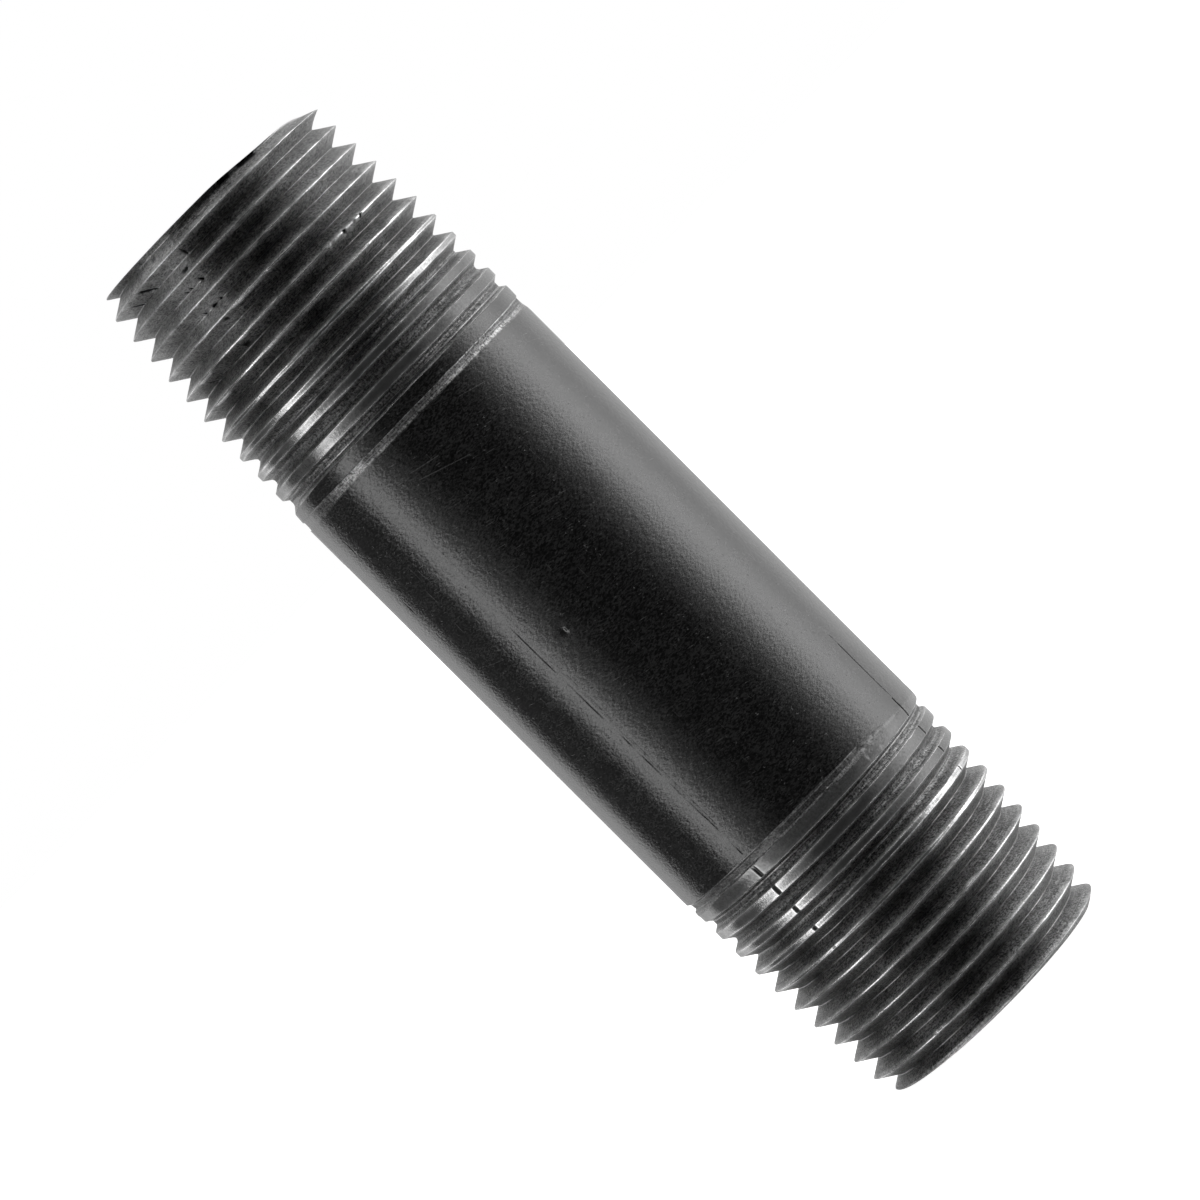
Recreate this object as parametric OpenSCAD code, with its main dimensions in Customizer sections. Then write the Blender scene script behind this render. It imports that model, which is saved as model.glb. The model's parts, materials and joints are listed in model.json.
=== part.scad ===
// Steel pipe nipple: a short length of welded pipe with a tapered male pipe thread cut on both ends.
// +Z runs along the pipe. The nipple stands on its lower end face, whose centre is the origin.
// Millimetres and degrees throughout.

/* [Pipe] */
// Overall length, end face to end face
nipple_len = 76.6; // [50:0.1:300]
// Outside diameter of the pipe
pipe_od = 21.34; // [21.2:0.01:21.6]
// Wall thickness of the pipe
wall = 2.77; // [2.4:0.01:3.7]
// Width of the welded seam that closes the rolled pipe
seam_w = 0.5; // [0.4:0.1:3]
// Direction of the seam, counter-clockwise from +X
seam_angle = 239; // [0:1:359]

/* [Thread] */
// Distance from one crest to the next
pitch = 1.8143; // [1.6:0.0001:2]
// Pitch diameter at the end face
pitch_dia = 19.264; // [19.1:0.001:19.4]
// The taper is 1 on diameter in this length
taper = 16; // [14:1:20]
// How far the crests are worn below the full thread form
crest_wear = 0.08; // [0:0.01:0.2]
// Distance from the end face to where the grooves begin to grow shallower
full_form_len = 8.13; // [7:0.01:10]
// Distance from the lower end face to where its groove runs out into the pipe
lower_thread_len = 19.4; // [18:0.1:22]
// Distance from the upper end face to where its groove runs out into the pipe
upper_thread_len = 20.6; // [18:0.1:22]
// Depth that is left of the groove where the cutter lifts out
lift_depth = 0.32; // [0.1:0.01:0.5]
// Turn of the lower thread about the pipe's axis
lower_turn = 55; // [0:1:359]
// Turn of the upper thread about the pipe's axis
upper_turn = 39; // [0:1:359]

/* [Ends] */
// Outside diameter of the flat end face
face_od = 18.6; // [18:0.1:19]
// Slope of the chamfer at the end, from the pipe's axis
chamfer_angle = 45; // [30:1:60]
// Size of the bevel inside the mouth
mouth_bevel = 0.4; // [0.1:0.1:0.8]

/* [Hidden] */

pipe_r = pipe_od / 2;
bore_r = pipe_r - wall;

// 60 degree thread form, 0.8 pitches deep, with a narrow flat at the root
flank = 30;
groove_depth = 0.8 * pitch;
root_flat = pitch * (cos(flank) - 0.8) * tan(flank);
root_r_at_face = pitch_dia / 2 - groove_depth / 2;
crest_r_at_face = pitch_dia / 2 + groove_depth / 2 - crest_wear;
taper_slope = 1 / (2 * taper);

// Each threaded end is its own length of pipe, a little longer than its thread
plain_rim = 0.4;
lower_len = lower_thread_len + plain_rim;
upper_len = upper_thread_len + plain_rim;
barrel_len = nipple_len - lower_len - upper_len;
// The cutter rises out of the steel over this length, nearly half a turn
lift_len = 0.45 * pitch;

// Straight strips round the thread
columns = 48;
// Grooves counted from the end face, enough to pass the end of the longer thread
groove_turns = ceil(max(lower_len, upper_len) / pitch) + 1;
// How far a cutting shape stands past the face it cuts
past = 0.5;

lacquer = [0.07, 0.07, 0.08];
cut_steel = [0.22, 0.22, 0.23];
seam_steel = [0.11, 0.11, 0.12];

// Radius at the bottom of a groove that is centred z from the end face. In all these functions
// reach is the length of thread on this end.
function root_r(z, reach) =
    let (full = root_r_at_face + taper_slope * min(z, full_form_len))
    let (lift_r = pipe_r - lift_depth, lift_start = reach - lift_len)
    z < full_form_len ? full
    : z < lift_start ? full + (lift_r - full) * (z - full_form_len) / (lift_start - full_form_len)
    : min(pipe_r, lift_r + lift_depth * (z - lift_start) / lift_len);

// Radius of the turned blank that the thread is cut in
function blank_r(z) = min(
    pipe_r,
    crest_r_at_face + taper_slope * z,
    face_od / 2 + z * tan(chamfer_angle));

// Half the width of a groove where it breaks through the blank
function half_mouth(z, reach) =
    let (crest_r = min(pipe_r, crest_r_at_face + taper_slope * z))
    root_flat / 2 + max(0, crest_r - root_r(z, reach)) * tan(flank);

// Place of groove k in column j: it climbs one pitch in each turn, which makes a right-hand thread
function groove_z(k, j) = pitch * (k + j / columns);

// Radius of the threaded surface at height z in column j
function thread_r(z, j, reach) = min(
    blank_r(z),
    min([for (k = [floor(z / pitch) - 2 : floor(z / pitch) + 1])
        let (middle = groove_z(k, j))
        root_r(middle, reach) + max(0, abs(z - middle) - root_flat / 2) / tan(flank)]));

// Heights where the surface turns a corner in column j: groove edges, the chamfer and both ends
function corners(j, reach) = [
    for (k = [-2 : groove_turns])
        let (middle = groove_z(k, j), mouth = half_mouth(middle, reach))
        for (step = [-mouth, -root_flat / 2, root_flat / 2, mouth])
            min(reach + plain_rim, max(0, middle + step)),
    for (part = [0 : 0.25 : 1]) part * (crest_r_at_face - face_od / 2) / tan(chamfer_angle),
    reach + plain_rim];

function sorted(list) = len(list) < 2 ? list :
    let (pivot = list[floor(len(list) / 2)])
    concat(
        sorted([for (v = list) if (v < pivot) v]),
        [for (v = list) if (v == pivot) v],
        sorted([for (v = list) if (v > pivot) v]));

// The thread as one closed shape: columns of corners, joined by triangles and closed by two fans
module thread_blank(reach) {
    heights = [for (j = [0 : columns]) sorted(corners(j, reach))];
    rows = len(heights[0]);
    points = concat(
        [for (j = [0 : columns], z = heights[j])
            let (r = thread_r(z, j, reach), a = 360 * j / columns)
            [r * cos(a), r * sin(a), z]],
        [[0, 0, 0], [0, 0, reach + plain_rim]]);
    face_middle = rows * (columns + 1);
    inner_middle = face_middle + 1;
    sides = [for (j = [0 : columns - 1], i = [0 : rows - 2])
        let (low = j * rows + i, next = low + rows)
        for (corner = [1, 2])
            if (corner == 1 && heights[j + 1][i] < heights[j + 1][i + 1]) [low, next + 1, next]
            else if (corner == 2 && heights[j][i] < heights[j][i + 1]) [low, low + 1, next + 1]];
    lids = [for (j = [0 : columns - 1], lid = [1, 2])
        let (low = j * rows, top = low + rows - 1)
        lid == 1 ? [face_middle, low, low + rows] : [inner_middle, top + rows, top]];
    polyhedron(points = points, faces = concat(sides, lids));
}

// One threaded end, with its end face at z = 0 and the pipe going up
module threaded_end(reach, turn) {
    color(cut_steel)
    difference() {
        rotate([0, 0, turn])
            thread_blank(reach);
        translate([0, 0, -past])
            cylinder(h = reach + plain_rim + 2 * past, r = bore_r, $fn = 128);
        translate([0, 0, -past])
            cylinder(h = mouth_bevel + past, r1 = bore_r + mouth_bevel + past, r2 = bore_r, $fn = 128);
    }
}

// Slab through the wall on the seam's side of the pipe
module seam_slab() {
    rotate([0, 0, seam_angle])
        translate([0, -seam_w / 2, -past])
            cube([pipe_od, seam_w, barrel_len + 2 * past]);
}

module barrel_tube() {
    difference() {
        cylinder(h = barrel_len, r = pipe_r, $fn = 128);
        translate([0, 0, -past])
            cylinder(h = barrel_len + 2 * past, r = bore_r, $fn = 128);
    }
}

// Plain pipe between the threads, open along the seam
module pipe_barrel() {
    color(lacquer)
    translate([0, 0, lower_len])
        difference() {
            barrel_tube();
            seam_slab();
        }
}

// Weld that closes the barrel, flush with the wall inside and out
module weld_seam() {
    color(seam_steel)
    translate([0, 0, lower_len])
        intersection() {
            barrel_tube();
            seam_slab();
        }
}

module lower_threaded_end() {
    threaded_end(lower_thread_len, lower_turn);
}

module upper_threaded_end() {
    translate([0, 0, nipple_len])
        rotate([180, 0, 0])
            threaded_end(upper_thread_len, upper_turn);
}

pipe_barrel();
weld_seam();
upper_threaded_end();
lower_threaded_end();
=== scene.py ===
import json
import math

import bmesh
import bpy
import numpy as np
from mathutils import Matrix, Vector


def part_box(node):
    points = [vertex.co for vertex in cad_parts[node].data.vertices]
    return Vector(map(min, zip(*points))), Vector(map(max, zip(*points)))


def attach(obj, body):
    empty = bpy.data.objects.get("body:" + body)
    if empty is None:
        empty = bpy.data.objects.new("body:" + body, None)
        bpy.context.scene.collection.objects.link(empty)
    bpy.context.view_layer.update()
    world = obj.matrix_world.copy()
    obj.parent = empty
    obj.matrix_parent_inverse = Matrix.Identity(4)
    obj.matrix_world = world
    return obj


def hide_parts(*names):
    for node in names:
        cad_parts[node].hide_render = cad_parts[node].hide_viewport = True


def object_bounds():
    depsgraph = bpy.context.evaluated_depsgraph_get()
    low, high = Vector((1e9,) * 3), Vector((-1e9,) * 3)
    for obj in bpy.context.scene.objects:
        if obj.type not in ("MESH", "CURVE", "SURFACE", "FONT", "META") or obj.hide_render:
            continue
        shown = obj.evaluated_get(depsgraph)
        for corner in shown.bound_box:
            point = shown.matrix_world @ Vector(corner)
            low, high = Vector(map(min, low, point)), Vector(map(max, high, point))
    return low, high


# The looks of a black steel pipe nipple: two cut threads, a lacquered barrel with its weld seam,
# soft studio light, and a camera that looks at the side of the pipe from a little above square.
# Meshes are worked out in millimetres and degrees, and scaled to metres when they are made.
# Azimuth is counter-clockwise from +X, seen from +Z; the camera stands at azimuth 270.

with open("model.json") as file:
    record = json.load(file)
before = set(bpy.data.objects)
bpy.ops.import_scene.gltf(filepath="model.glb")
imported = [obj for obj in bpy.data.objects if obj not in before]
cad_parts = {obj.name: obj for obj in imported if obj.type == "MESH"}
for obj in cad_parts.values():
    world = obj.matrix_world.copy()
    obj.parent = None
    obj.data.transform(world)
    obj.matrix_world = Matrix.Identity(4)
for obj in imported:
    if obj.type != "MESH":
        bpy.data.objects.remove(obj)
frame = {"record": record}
cad_low, cad_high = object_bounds()

MM = 0.001
MOUNTS = {mount["name"]: mount for mount in frame["record"]["mounts"]}

# ---- sizes of the pipe, from the frame
PIPE_LEN = (cad_high.z - cad_low.z) / MM
PIPE_R = MOUNTS["barrel_outside"]["dims"]["r_mm"]
BORE_R = MOUNTS["bore"]["dims"]["r_mm"]
MOUTH_BEVEL = (PIPE_LEN - MOUNTS["bore"]["dims"]["length_mm"]) / 2
BARREL_LOW, BARREL_HIGH = (corner.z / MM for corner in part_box("pipe_barrel"))
SEAM_AZIMUTH = 239
SEAM_W = 0.5

# ---- thread
PITCH = 1.8143
FLANK_ANGLE = 33           # half the angle between the two sides of a groove
ROOT_ROUNDING = 0.05
ROOT_AT_FACE = 8.60        # radius at the bottom of the groove, at the end face
ROOT_SLOPE = 0.068         # how fast the groove's bottom rises over the full threads
FADE_START = 12.0          # from here to the run-out the groove grows shallower faster
LIFT_DEPTH = 0.32          # groove depth left where the cutter lifts out
LIFT_LEN = 0.45 * PITCH
CREST_AT_FACE = 9.92       # radius of the worn crests at the end face
CREST_SLOPE = 0.064
CREST_ROUNDING = 0.03      # where the tapered crests meet the pipe's own surface
FACE_R = 9.33              # outer radius of the flat end face
CHAMFER_SLOPE = 1.0
RIM_ROUNDING = 0.07
RIM_WEAR = 0.85            # how much narrower the end face is where its rim is worn
EDGE_SOFTNESS = 0.025      # how round the edges of the thread are
BEVEL_ANGLE = 13           # slope of the last groove's far side on the upper end, from the axis
WIDEST_BEVEL = 1.25
ROOT_FLAT = 0.20           # half the width of the groove's bottom where the thread runs out
ROOT_FLAT_START = 11.0
POLISHED_ROOT = 0.05       # half the width of the smooth line along the bottom of a groove
WAVER = 0.016              # how far a groove wanders, in long waves
FINE_WAVER = 0.008         # and in short ones
UNEVEN_CREST = 0.03        # how much lower the crests are in places
DROP_REACH = 1.5           # how far into the pipe the uneven end face is felt
STEEP = 1 / math.tan(math.radians(FLANK_ANGLE))

# ---- mesh density
THREAD_COLUMNS = 224
NICK_COLUMNS = 5           # extra columns on each side of a nick's middle
PIT_STEP = 0.08            # column spacing where there are pits or burrs
PIT_MARGIN = 0.1           # how far that spacing goes past the end of a pit or burr
CLOSEST_COLUMNS = 0.04
BARREL_STEP = 0.24
FINE_STEP = 0.045          # column spacing at a scratch
MERGE_DIST = 0.0004        # points closer than this are joined
SLIVER = 0.0002            # edges shorter than this are taken out
SHARP_ANGLE = 50           # an edge that turns more than this is drawn sharp

# What the materials read from each point of a mesh, from 0 to 1
# The scraped mark also carries a painted sheen on the lamp-facing sides of the first threads.
MARKS = ("coated", "bare", "scraped", "pitted", "polished")


class Noise:
    """Smooth random values from -1 to 1 that are the same in every run and repeat after `cells`."""

    def __init__(self, seed, cells=(32, 32, 32)):
        self.cells = cells
        self.values = np.random.default_rng(seed).uniform(-1, 1, cells)

    def __call__(self, x, y, z):
        corner, share = [], []
        for value in (x, y, z):
            whole = np.floor(value)
            part = value - whole
            corner.append(whole.astype(int))
            share.append(part * part * (3 - 2 * part))
        total = 0
        for step in np.ndindex(2, 2, 2):
            weight = 1
            place = []
            for axis in range(3):
                weight = weight * (share[axis] if step[axis] else 1 - share[axis])
                place.append((corner[axis] + step[axis]) % self.cells[axis])
            total = total + weight * self.values[tuple(place)]
        return total


def layered(noise, x, y, z, size, layers=3):
    """Noise with features of about `size` mm, and finer layers on top at half the height each."""
    total, height = 0, 1
    for layer in range(layers):
        scale = 2**layer / size
        total = total + height * noise(x * scale + 7.3 * layer, y * scale, z * scale)
        height /= 2
    return total


def soft_min(a, b, softness):
    """The smaller of two heights, with the corner between them rounded off."""
    return 0.5 * (a + b - np.sqrt((a - b) ** 2 + softness**2))


def smooth_step(low, high, value):
    share = np.clip((value - low) / (high - low), 0, 1)
    return share * share * (3 - 2 * share)


def window(start, full, fall, end, value):
    """1 between full and fall, with smooth sides down to 0 at start and end."""
    return smooth_step(start, full, value) * smooth_step(end, fall, value)


def bell(value):
    return np.exp(-(value**2))


def raise_mark(marks, name, amount):
    """Raises a mark to amount where it is lower."""
    marks[name] = np.maximum(marks[name], amount)


def cos_sin(degrees):
    return math.cos(math.radians(degrees)), math.sin(math.radians(degrees))


def arc_mm(azimuth, middle):
    """Distance along the pipe's surface from the azimuth `middle`."""
    turn = (azimuth - middle + 180) % 360 - 180
    return np.radians(turn) * PIPE_R


# ---- threaded ends
class ThreadedEnd:
    """One threaded end in its own frame: d is the distance from the end face into the pipe, and
    beta turns about the pipe so that the thread is right-hand. Upside down, beta runs the other way."""

    # These lists stay empty on an end that has no such marks.
    NICKS = ()                 # azimuth, first and last distance from the face, half width, depth
    PITS = ()                  # azimuth, distance, half length, half width, slant, depth
    PATCHES = ()               # azimuth, distance, half size round the pipe and along it, depth, shine
    RIM_BREAKS = ()            # azimuth, half size round the pipe, depth
    BURRS = ()                 # azimuth, distance, half size round the pipe and along it, height

    # Each end sets these.
    OFF_CENTRE = 0             # how far the thread's axis is moved towards +X
    LEAN = 0                   # how much further in the threads lie towards +X, as a slope
    LAST_COAT = 0              # how much lacquer is left on the last crests
    PAINTED_SIDE_SHEEN = (0, 0)             # painted sheen: how much brighter the first threads are painted on the lamp-facing left and right sides

    def __init__(self, reach, length, turn, seed):
        self.reach, self.length, self.turn = reach, length, turn
        self.noise = Noise(seed)

    def root(self, z):
        """Radius of the groove's bottom where the groove's middle is z from the face."""
        full = ROOT_AT_FACE + ROOT_SLOPE * np.minimum(z, FADE_START)
        lift_start = self.reach - LIFT_LEN
        lift_r = PIPE_R - LIFT_DEPTH
        fade = full + (lift_r - full) * (z - FADE_START) / (lift_start - FADE_START)
        lifted = lift_r + LIFT_DEPTH * (z - lift_start) / LIFT_LEN
        return np.where(z < FADE_START, full, np.where(z < lift_start, fade, np.minimum(PIPE_R, lifted)))

    def root_flat(self, z):
        """Half the width of the groove's bottom, which is flat where the thread runs out."""
        return ROOT_FLAT * smooth_step(ROOT_FLAT_START, self.reach - 1.5, z)

    def far_slope(self, z):
        """How steeply the groove rises on the barrel's side."""
        return STEEP + 0 * z

    def lean(self, angle):
        """How far the threads lie further in at this angle, because they aren't cut quite square."""
        return self.LEAN * PIPE_R * np.cos(angle)

    def shift(self, angle):
        """How much further out the thread runs at this angle, because it isn't cut quite central."""
        return self.OFF_CENTRE * np.cos(angle)

    def crest(self, d, shift):
        return soft_min(self.largest(d, shift), CREST_AT_FACE + CREST_SLOPE * d + shift, CREST_ROUNDING)

    def largest(self, d, shift):
        """Radius of the blank that the thread is cut in."""
        return PIPE_R + 0 * d

    def mouth(self, z, shift, slope=STEEP):
        """Half the width of the groove at the crests, on a side that rises at this slope."""
        depth = np.maximum(0, self.crest(z, shift) - self.root(z) - shift)
        half_width = self.root_flat(z) + ROOT_ROUNDING * 0.7 + depth / slope
        return np.clip(half_width, 0.15, WIDEST_BEVEL)

    def groove_place(self, d, beta):
        """(groove's middle, distance from it) for the groove nearest to a point."""
        phase = (beta - self.turn) / 360
        number = np.round(d / PITCH - phase)
        middle = PITCH * (number + phase)
        return middle, d - middle

    def grooves(self, w, middle, shift):
        """Radius of the cut grooves alone."""
        cut = PIPE_R + 1
        for neighbour in (-1, 0, 1):
            centre = middle + neighbour * PITCH
            side = w - neighbour * PITCH
            slope = np.where(side > 0, self.far_slope(centre), STEEP)
            beyond = np.maximum(np.abs(side) - self.root_flat(centre), 0)
            rise = (np.sqrt(beyond**2 + ROOT_ROUNDING**2) - ROOT_ROUNDING) * slope
            cut = soft_min(cut, self.root(centre) + shift + rise, EDGE_SOFTNESS)
        return cut

    def surface(self, d, beta):
        """Radius of the thread at each point, and the marks that the material reads."""
        azimuth = self.azimuth(beta) % 360
        angle = np.radians(azimuth)
        x, y = PIPE_R * np.cos(angle), PIPE_R * np.sin(angle)
        shift = self.shift(angle)
        middle, w = self.groove_place(d - self.lean(angle), beta)
        w = w + WAVER * self.noise(x / 1.6, y / 1.6, d / 1.7 + 5)
        w = w + FINE_WAVER * self.noise(x / 0.6, y / 0.6, d / 1.1 + 2)

        crest = self.crest(d, shift)
        uneven = UNEVEN_CREST * smooth_step(self.length, self.length - 0.8, d)
        crest = crest - uneven * np.maximum(0, self.noise(x / 2.1, y / 2.1, d / 0.9))
        radius = soft_min(self.grooves(w, middle, shift), crest, EDGE_SOFTNESS)
        flat = smooth_step(0.035, 0.018, crest - radius)
        next_groove = middle + PITCH * (w > 0)
        coated = self.LAST_COAT * flat * smooth_step(self.reach - 2.6, self.reach - 0.2, next_groove)
        coated = np.maximum(coated, flat * self.dull(d, azimuth))
        bottom = 0.9 * bell((w - self.root_flat(middle)) / POLISHED_ROOT) * (middle < self.reach - 1)
        polished = np.maximum(flat, bottom)

        far_mouth = self.mouth(middle, shift, self.far_slope(middle))
        edge = np.where(w > 0, w - far_mouth, w + self.mouth(middle, shift))
        broken = np.clip(0.75 + 0.7 * self.noise(x / 1.1, y / 1.1, d / 0.7 + 9), 0.1, 1)
        line_width = 0.06 + 0.05 * np.maximum(0, self.noise(x / 2.2, y / 2.2, d + 4))
        bare = bell(edge / line_width) * broken * (middle < self.reach)
        bare = np.maximum(bare, flat * self.wear(d) * (0.85 + 0.15 * broken)) * (1 - coated)

        marks = {"coated": coated, "bare": bare, "polished": polished}
        # Darker and rougher along the flat bottoms of the grooves where the thread runs out, through the
        # pitted mark.
        flat_bottom = smooth_step(0.03, -0.04, np.abs(w) - self.root_flat(middle))
        dark = 0.5 * flat_bottom * smooth_step(0.03, 0.10, self.root_flat(middle))
        # The scraped mark set here is a painted sheen on the lamp-facing sides of the first threads.
        marks |= {"scraped": self.painted_side_sheen(d, azimuth), "pitted": dark * (middle < self.reach)}
        place = (azimuth, d, x, y)
        radius = self.add_patches(radius, marks, place)
        radius = self.add_nicks(radius, crest, flat, marks, place)
        radius = self.add_burrs(radius, marks, place)
        radius = self.add_pits(radius, marks, place)
        radius = self.end_of_thread(radius, crest, marks, middle, w, place)
        radius = self.chamfered(radius, marks, place)
        return radius, np.stack([marks[name] for name in MARKS], -1)

    def painted_side_sheen(self, d, azimuth):
        """Painted sheen: the first threads are painted brighter on the pipe's two lamp-facing sides than
        towards the camera.
        """
        left, right = self.PAINTED_SIDE_SHEEN
        on_left = window(90, 180, 235, 258, azimuth)
        on_right = smooth_step(282, 305, azimuth) + smooth_step(180, 90, azimuth)
        return (left * on_left + right * on_right) * smooth_step(9, 5, d)

    def dull(self, d, azimuth):
        """The last flats are as dull as the barrel on one side."""
        return 0.75 * window(285, 305, 345, 360, azimuth) * smooth_step(13.6, 14.6, d)

    def wear(self, d):
        """How far the crests are rubbed bare."""
        return 0.10 - 0.06 * smooth_step(self.reach - 4, self.reach, d)

    def add_patches(self, radius, marks, place):
        """Burnished and scraped areas."""
        azimuth, d, x, y = place
        for patch_azimuth, patch_d, arc_size, d_size, depth, shine in self.PATCHES:
            across = np.abs(arc_mm(azimuth, patch_azimuth)) / arc_size
            rough = layered(self.noise, x, y, d * 2, 0.5)
            across = across + 0.10 * rough + 0.06 * self.noise(x / 3, y / 3, d / 1.5)
            patch = smooth_step(1.12, 0.88, across) * smooth_step(1.3, 0.7, np.abs(d - patch_d) / d_size)
            radius = radius - depth * patch * np.maximum(0, rough)
            amount = shine * patch * np.clip(0.8 + 0.5 * rough, 0.3, 1)
            raise_mark(marks, "scraped", amount)
        return radius

    def add_nicks(self, radius, crest, flat, marks, place):
        """Narrow cuts along the pipe through the crests, with a bright line on each side."""
        azimuth, d, _, _ = place
        for nick_azimuth, first, last, width, depth in self.NICKS:
            arc = arc_mm(azimuth, nick_azimuth)
            along = window(first, first + 2.5, last, last + 0.1, d)
            here = along * bell(arc / width)
            radius = np.minimum(radius, crest - depth * here + 0.03 * (1 - here))
            lip = along * bell((np.abs(arc) - 1.6 * width) / (0.4 * width)) * flat
            marks["bare"] = np.maximum(marks["bare"] * (1 - 0.8 * here), lip)
            raise_mark(marks, "pitted", 0.7 * here * flat)
        return radius

    def add_burrs(self, radius, marks, place):
        """Small bright lumps of metal that were pushed up."""
        azimuth, d, x, y = place
        for burr_azimuth, burr_d, arc_size, d_size, height in self.BURRS:
            bent = 0.5 * self.noise(x / 0.3, y / 0.3, d / 0.3)
            away = np.hypot(arc_mm(azimuth, burr_azimuth) / arc_size, (d - burr_d) / d_size) + bent
            burr = smooth_step(1.2, 0.5, away)
            radius = np.minimum(radius + height * burr, PIPE_R)
            raise_mark(marks, "bare", burr)
        return radius

    def add_pits(self, radius, marks, place):
        """Pits and tears in the metal."""
        azimuth, d, x, y = place
        for pit_azimuth, pit_d, length, width, slant, depth in self.PITS:
            across, along = arc_mm(azimuth, pit_azimuth), d - pit_d
            cos, sin = cos_sin(slant)
            bent = 0.08 * self.noise(x / 0.4, y / 0.4, d / 0.4)
            lengthways = (across * cos + along * sin) / length
            sideways = (along * cos - across * sin + bent) / width
            pit = smooth_step(1.25, 0.6, np.hypot(lengthways, sideways))
            rim = bell((np.hypot(lengthways, sideways) - 1.5) / 0.25) * (sideways < 0)
            radius = radius - depth * pit * smooth_step(0.05, 0.3, d)
            raise_mark(marks, "pitted", pit)
            marks["bare"] = np.maximum(marks["bare"] * (1 - pit), 0.8 * rim)
        return radius

    def chamfered(self, radius, marks, place):
        """The chamfer that leads the thread in, with its rounded and broken rim."""
        azimuth, d, x, y = place
        worn = self.rim_wear(azimuth)
        chamfer = FACE_R - RIM_WEAR * worn + CHAMFER_SLOPE * (1 + worn) * d
        chamfer = chamfer + 0.03 * self.noise(x / 2.4, y / 2.4, d / 2 + 3)
        for break_azimuth, arc_size, depth in self.RIM_BREAKS:
            gap = smooth_step(1.2, 0.6, np.abs(arc_mm(azimuth, break_azimuth)) / arc_size)
            ragged = 0.7 + 0.5 * self.noise(x / 0.35, y / 0.35, 0 * d)
            chamfer = chamfer - depth * ragged * gap * smooth_step(0.5, 0.0, d)
            raise_mark(marks, "pitted", gap * smooth_step(0.45, 0.2, d))
        near_rim = np.minimum(d, RIM_ROUNDING)
        chamfer = chamfer - RIM_ROUNDING + np.sqrt(RIM_ROUNDING**2 - (RIM_ROUNDING - near_rim) ** 2)
        rim = 0.6 * bell(d / 0.07) * (1 - marks["pitted"])
        slope = worn * smooth_step(0.05, -0.02, chamfer - radius)
        raise_mark(marks, "bare", np.maximum(rim, slope))
        raise_mark(marks, "scraped", 0.9 * slope)
        return soft_min(radius, chamfer, 0.03)

    def rim_wear(self, azimuth):
        """1 where the rim is worn down to a wide slope, 0 elsewhere."""
        return 0 * azimuth

    def face_drop(self, x):
        """How far the end face is cut back into the pipe, at this distance along +X."""
        return 0 * x

    def columns(self):
        """Angles of the mesh's columns, closer together at the nicks, pits and burrs."""
        angles = list(np.linspace(0, 360, THREAD_COLUMNS, endpoint=False))
        for nick_azimuth, _, _, width, _ in self.NICKS:
            step = math.degrees(0.5 * width / PIPE_R)
            middle = self.azimuth(nick_azimuth)
            angles += [(middle + step * i) % 360 for i in range(-NICK_COLUMNS, NICK_COLUMNS + 1)]
        spots = [(azimuth, half_length) for azimuth, _, half_length, *_ in self.PITS]
        spots += [(azimuth, arc_size) for azimuth, _, arc_size, *_ in self.BURRS]
        for spot_azimuth, length in spots:
            half = math.degrees((length + PIT_MARGIN) / PIPE_R)
            middle = self.azimuth(spot_azimuth)
            count = max(4, round(2 * (length + PIT_MARGIN) / PIT_STEP))
            angles += [(middle + turn) % 360 for turn in np.linspace(-half, half, count)]
        angles = np.unique(np.round(angles, 2))
        gaps = np.diff(angles, prepend=angles[-1] - 360)
        angles = angles[gaps > math.degrees(CLOSEST_COLUMNS / PIPE_R)]
        return np.append(angles, angles[0] + 360)

    def heights(self, beta):
        """Distances from the face of the mesh's rows in each column, in order."""
        angle = np.radians(self.azimuth(beta))
        shift = self.shift(angle)
        rows = []
        for number in range(-2, math.ceil(self.length / PITCH) + 2):
            middle = PITCH * (number + (beta - self.turn) / 360)
            place = middle + self.lean(angle)
            rows += [place, place + PITCH / 2]
            far_mouth = self.mouth(middle, shift, self.far_slope(middle))
            for side, mouth in ((-1, self.mouth(middle, shift)), (1, far_mouth)):
                steps = [0.03, 0.065]
                steps += [0.1 + (mouth - 0.15) * share for share in (0, 0.33, 0.67, 1)]
                steps += [mouth - 0.02, mouth + 0.01, mouth + 0.05]
                steps += [mouth + 0.05 + np.maximum(0, PITCH / 2 - mouth - 0.05) * 0.5]
                rows += [place + side * step for step in steps]
        rows += [0 * beta + d for d in (0.012, 0.03, 0.055, 0.09, 0.14)]
        rows += self.extra_rows(beta)
        rows += [0 * beta, 0 * beta + self.length]
        return np.sort(np.clip(np.array(rows).T, 0, self.length), axis=1)

    def extra_rows(self, beta):
        return []

    def place(self, radius, beta, d):
        """Points in the row frame, in mm."""
        angle = np.radians(self.azimuth(beta))
        return np.stack([radius * np.cos(angle), radius * np.sin(angle), self.height(d) + 0 * radius], -1)

    def grid(self):
        """Rings of points from the outside at the joint, over the thread and the face, into the bore."""
        beta = self.columns()
        d = self.heights(beta)
        beta_grid = np.repeat(beta[:, None], d.shape[1], 1)
        radius, marks = self.surface(d, beta_grid)
        x = radius * np.cos(np.radians(self.azimuth(beta_grid)))
        d = d + self.face_drop(x) * smooth_step(DROP_REACH, 0, d)
        d, beta_grid, radius = d[:, ::-1], beta_grid[:, ::-1], radius[:, ::-1]
        rings, ring_marks = self.face_and_bore(beta, radius[:, -1])
        points = [self.place(radius, beta_grid, d)] + rings
        marks = [marks[:, ::-1]] + ring_marks
        return np.concatenate(points, 1), np.concatenate(marks, 1)

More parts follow.
